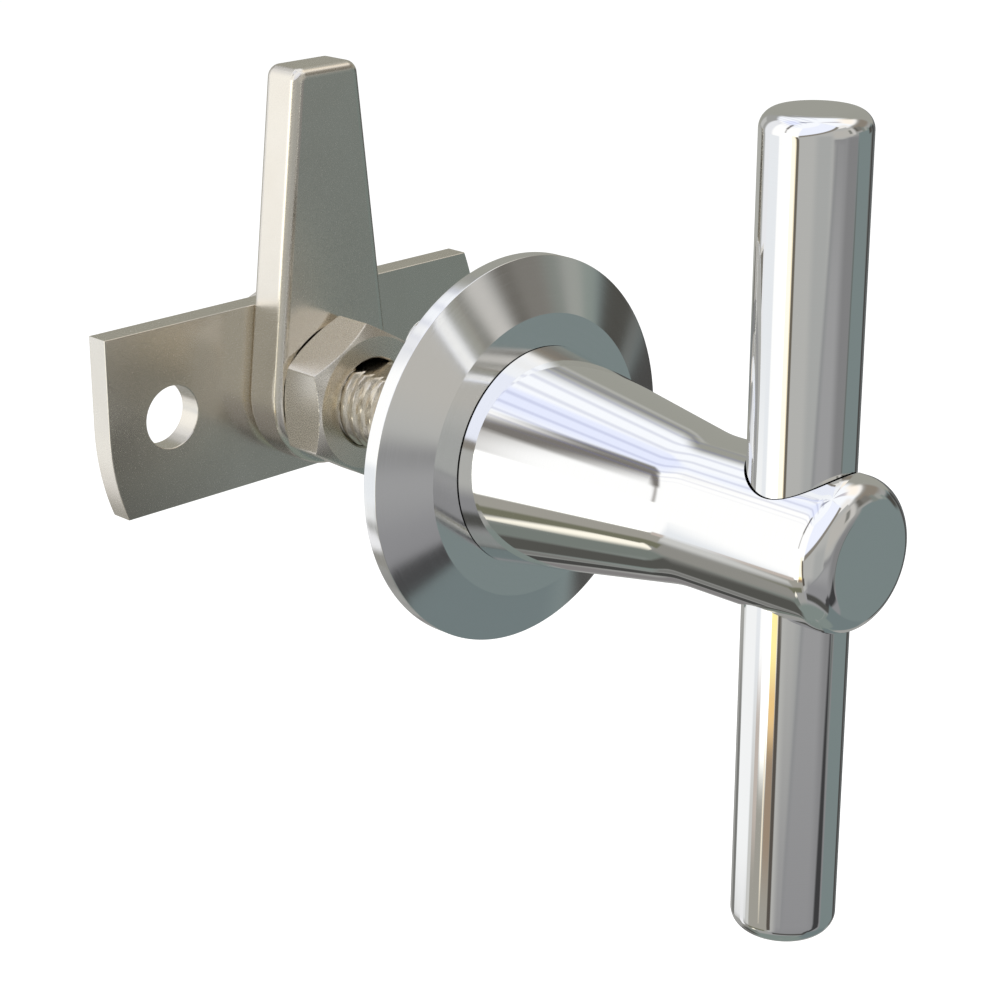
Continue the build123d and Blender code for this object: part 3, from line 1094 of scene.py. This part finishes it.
# %% Cards
CARDS = [
    ("top cloth", 0, 180, 72, 30, 0, 8, (0.97, 0.98, 1)),
    ("top cloth, cool part", -38, 22, 60, 9, 0, 12, (0.9, 0.92, 1)),
    ("top cloth, fold", -42, 12, 78.5, 8, 0, 8, (0.66, 0.67, 0.72)),
    ("top cloth, right fold", 124, 10, 74, 12, 0, 8, (0.77, 0.76, 0.79)),
    ("top cloth, right", 108, 26, 53, 10, 0, 16, (1, 0.965, 0.92)),
    ("back wall", 58, 36, 20, 33, 0, 16, (0.6, 0.6, 0.57)),
    ("light rail, back wall", 51, 10, 39.5, 2, 0, 4, (0.68, 0.68, 0.66)),
    ("dark rail, back wall", 48, 12, 45.6, 1.4, 0, 3, (0.56, 0.56, 0.57)),
    ("warm corner", 118, 24, 27, 10, 0, 10, (0.53, 0.5, 0.46)),
    ("top cloth, camera side", 178, 34, 48, 8, 0, 14, (0.93, 0.92, 0.91)),
    ("grey wall", -150, 54, -2, 46, 0, 3, (0.69, 0.69, 0.68)),
    ("grey wall, middle", -146, 16, -12, 24, 0, 16, (0.645, 0.65, 0.645)),
    ("grey wall, lower part", -158, 60, -44, 25, -21.4, 3, (0.6, 0.6, 0.605)),
    ("shadow line, grey wall", -149, 26, -20.4, 1.2, -21.4, 3, (0.555, 0.56, 0.565)),
    ("grey wall, fading", 152, 18, -20, 20, 0, 20, (0.5, 0.5, 0.505)),
    ("grey wall, right end", 175, 22, 18, 16, 0, 12, (0.71, 0.7, 0.68)),
    ("shadow line, right end", -177, 13, -9, 3.2, 0, 7, (0.53, 0.53, 0.535)),
    ("grey wall, foot", -170, 60, -38, 12, 0, 16, (0.54, 0.54, 0.55)),
    ("cloth, grey wall", -128, 60, 44, 20, -27.4, 5, (0.93, 0.945, 1)),
    ("rail, grey wall", -139, 55, 27, 3.5, -27.4, 3, (0.52, 0.5, 0.47)),
    ("low dark edge", 163, 20, -37.5, 5.2, -39, 4, (0.235, 0.235, 0.24)),
    ("low dark corner", 172, 6, -42.5, 6.5, -39, 4, (0.26, 0.26, 0.265)),
    ("low dark edge, left", -150, 45, -50, 5, 3, 5, (0.3, 0.3, 0.29)),
    ("green grey card", 114, 27, -26, 34, 0, 5, (0.465, 0.51, 0.51)),
    ("dark line", 142.5, 8, -18.5, 1.4, -54.7, 3, (0.4, 0.42, 0.41)),
    ("floor cloth", 0, 180, -74, 15, 0, 8, (0.49, 0.53, 0.515)),
    ("floor cloth, right", 124, 44, -56, 13, 0, 5, (0.435, 0.48, 0.485)),
    ("dark card, right", 72, 14, -16, 16, 0, 6, (0.38, 0.39, 0.39)),
    ("dark post, right", 87, 5, -18, 21, 0, 4, (0.27, 0.265, 0.26)),
    ("dark spot, right", 100, 7, 0, 6.5, 0, 6, (0.29, 0.285, 0.27)),
    ("light line, dark spot", 94.5, 1.3, -7, 7, 0, 3, (0.43, 0.43, 0.42)),
    ("light spot, right", 115.5, 4, 11.5, 5.5, 0, 6, (0.6, 0.61, 0.59)),
    ("gap by the light spot", 124.5, 4, 14, 8, 0, 5, (0.5, 0.52, 0.5)),
    ("green spot", 111, 2.5, 7.5, 4, 0, 3, (0.52, 0.555, 0.535)),
    ("brown card", 135, 9, 22, 8, 0, 8, (0.47, 0.46, 0.44)),
    ("dark strip", 141, 3, 24, 8, 0, 5, (0.4, 0.39, 0.37)),
    ("light strip", 151.2, 3.8, 20, 14, 0, 5, (0.76, 0.75, 0.735)),
    ("dark strip, far side", 159, 3.2, 20, 8, 0, 4, (0.49, 0.49, 0.47)),
    ("white wall", -53, 41, 10.5, 36.5, 0, 4, (1, 1, 1)),
    ("bright cloth", -76, 14, -8, 18, 0, 6, (1.25, 1.25, 1.22)),
    ("white wall, far end", -20, 12, 8, 36, 0, 8, (0.9, 0.905, 0.92)),
    ("cool strip", -38, 13.3, -17, 10, 0, 4, (0.9, 0.912, 0.928)),
    ("low light card", -16, 24, -24, 6, 0, 5, (0.945, 0.95, 0.955)),
    ("floor, far left", -31, 17, -42, 7, 0, 6, (0.55, 0.545, 0.525)),
    ("floor edge, soft", -45, 5, -29, 4, 0, 6, (0.78, 0.78, 0.77)),
    ("low light card, foot", -27, 6, -35, 5.5, 0, 3, (0.93, 0.93, 0.94)),
    ("low grey card", 18, 20, -14, 8, 0, 6, (0.66, 0.66, 0.64)),
    ("dark spot, back", 13, 8, -28, 4, 0, 4, (0.46, 0.46, 0.45)),
    ("left floor", -72, 23, -33, 6.8, 0, 2, (0.61, 0.6, 0.57)),
    ("floor edge, right", -54, 5, -26, 1.8, 0, 2, (0.74, 0.7, 0.67)),
    ("olive line", -66, 22, -39.5, 3.4, 0, 3, (0.44, 0.44, 0.375)),
    ("light patch", -54, 6, -46.6, 3.2, -25, 2, (1, 0.98, 0.92)),
    ("green grey floor", -42, 16, -54, 6, 0, 6, (0.455, 0.48, 0.46)),
    ("dark floor", -12, 16, -57, 9, 0, 8, (0.32, 0.32, 0.305)),
    ("light floor strip", 11, 5, -54, 6, 0, 4, (0.47, 0.47, 0.46)),
    ("dark floor strip", 24, 6, -52, 7, 0, 4, (0.27, 0.27, 0.265)),
    ("floor, back right", 38, 7, -42, 8, 0, 6, (0.5, 0.49, 0.49)),
    ("cream trim", -85, 6, -9, 15, 0, 5, (1, 0.99, 0.935)),
    ("gold trim", -85.5, 6.5, -22.9, 1.5, 0, 1.8, (1, 0.95, 0.66)),
    ("brown foot", -86, 7.5, -26.4, 1.9, 0, 2, (0.6, 0.53, 0.46)),
    ("orange trim", -86, 6.5, -24.5, 0.7, 0, 1.4, (0.93, 0.78, 0.53)),
    ("cream trim, foot", -75.2, 1.6, -27, 2, 0, 2.2, (0.95, 0.91, 0.83)),
    ("gold edge", -89.5, 1, -11, 12.5, -13, 1.4, (1, 0.94, 0.8)),
    ("dark post, left", -94.2, 2.7, -16, 17, -13, 2.5, (0.4, 0.375, 0.335)),
    ("dark post, left foot", -98.3, 3.6, -27.5, 5, -10, 3, (0.33, 0.31, 0.29)),
    ("dark pole, foot", -63.6, 1.7, 22, 10, -6.3, 3.5, (0.7, 0.69, 0.68)),
    ("dark pole", -61.3, 3.2, 42, 11.5, -6.3, 5, (0.47, 0.455, 0.44)),
    ("dark pole, head", -58.5, 3, 50, 3.5, 0, 4, (0.5, 0.49, 0.47)),
    ("light card, back", 11, 8, 8, 10, 0, 6, (0.72, 0.72, 0.71)),
]
print("cards in the tent:", len(CARDS))

# %% [markdown]
# ## The tent
#
# The tent's material finds the azimuth and elevation that a ray left in, and paints the cards
# in their order and then the seams. The cloth overhead is sewn from strips, whose seams run
# almost from front to back, like evenly spaced lines on a flat ceiling.

# %% Tent
TENT_RADIUS = 6.0
TENT_STRENGTH = 1.08
TENT_COLOUR = display(0.61, 0.61, 0.60)
SEAM_COLOUR = display(0.42, 0.44, 0.66)
SEAM_EDGE = 0.26
SEAM_CORE = 0.02
SEAM_SPACING = 0.235
SEAM_SLANT = -0.63
SEAM_SHIFT = 0.18
SEAM_STRENGTH = 0.26
SEAM_WINDOW = (-12, 64, 62, 22, 0, 14)


def tent_material():
    material = bpy.data.materials.new("Light tent")
    material.cycles.emission_sampling = "NONE"
    t = emptied(material)
    place = t.add("ShaderNodeTexCoord").outputs["Object"]
    way = t.split(t.add("ShaderNodeVectorMath", {0: place}, operation="NORMALIZE").outputs[0])
    azimuth = t.math("DEGREES", t.math("ARCTAN2", way["X"], way["Y"]))
    elevation = t.math("DEGREES", t.math("ARCSINE", way["Z"]))
    colour = TENT_COLOUR
    for _, *window, shade in CARDS:
        colour = t.blend(card_mask(t, azimuth, elevation, *window), colour, display(*shade))
    seam_place = t.plus(way["X"], t.times(way["Y"], SEAM_SLANT))
    seam_place = t.over(seam_place, t.math("MAXIMUM", way["Z"], 0.1))
    seam_place = t.minus(t.over(seam_place, SEAM_SPACING), SEAM_SHIFT)
    from_seam = t.math("ABSOLUTE", t.minus(t.math("FRACT", seam_place), 0.5))
    seam = t.ramp(from_seam, SEAM_EDGE, SEAM_CORE, smooth=True)
    seam = t.times(seam, card_mask(t, azimuth, elevation, *SEAM_WINDOW))
    colour = t.blend(t.times(seam, SEAM_STRENGTH), colour, SEAM_COLOUR)
    glow = t.add("ShaderNodeEmission", {"Color": colour, "Strength": TENT_STRENGTH})
    t.add("ShaderNodeOutputMaterial", {"Surface": glow.outputs[0]})
    return material


tent_shape = bmesh.new()
bmesh.ops.create_uvsphere(tent_shape, u_segments=128, v_segments=64, radius=TENT_RADIUS)
tent_mesh = bpy.data.meshes.new("light_tent")
tent_shape.to_mesh(tent_mesh)
tent_shape.free()
tent_mesh.materials.append(tent_material())
tent = add_object("light_tent", tent_mesh)
for ray in ("camera", "diffuse", "shadow", "transmission"):
    setattr(tent, "visible_" + ray, False)
print("faces of the tent:", len(tent_mesh.polygons))

# %% [markdown]
# ## Colour management
#
# The Standard view shows each colour as it is written.

# %% View transform
bpy.context.scene.view_settings.view_transform = "Standard"
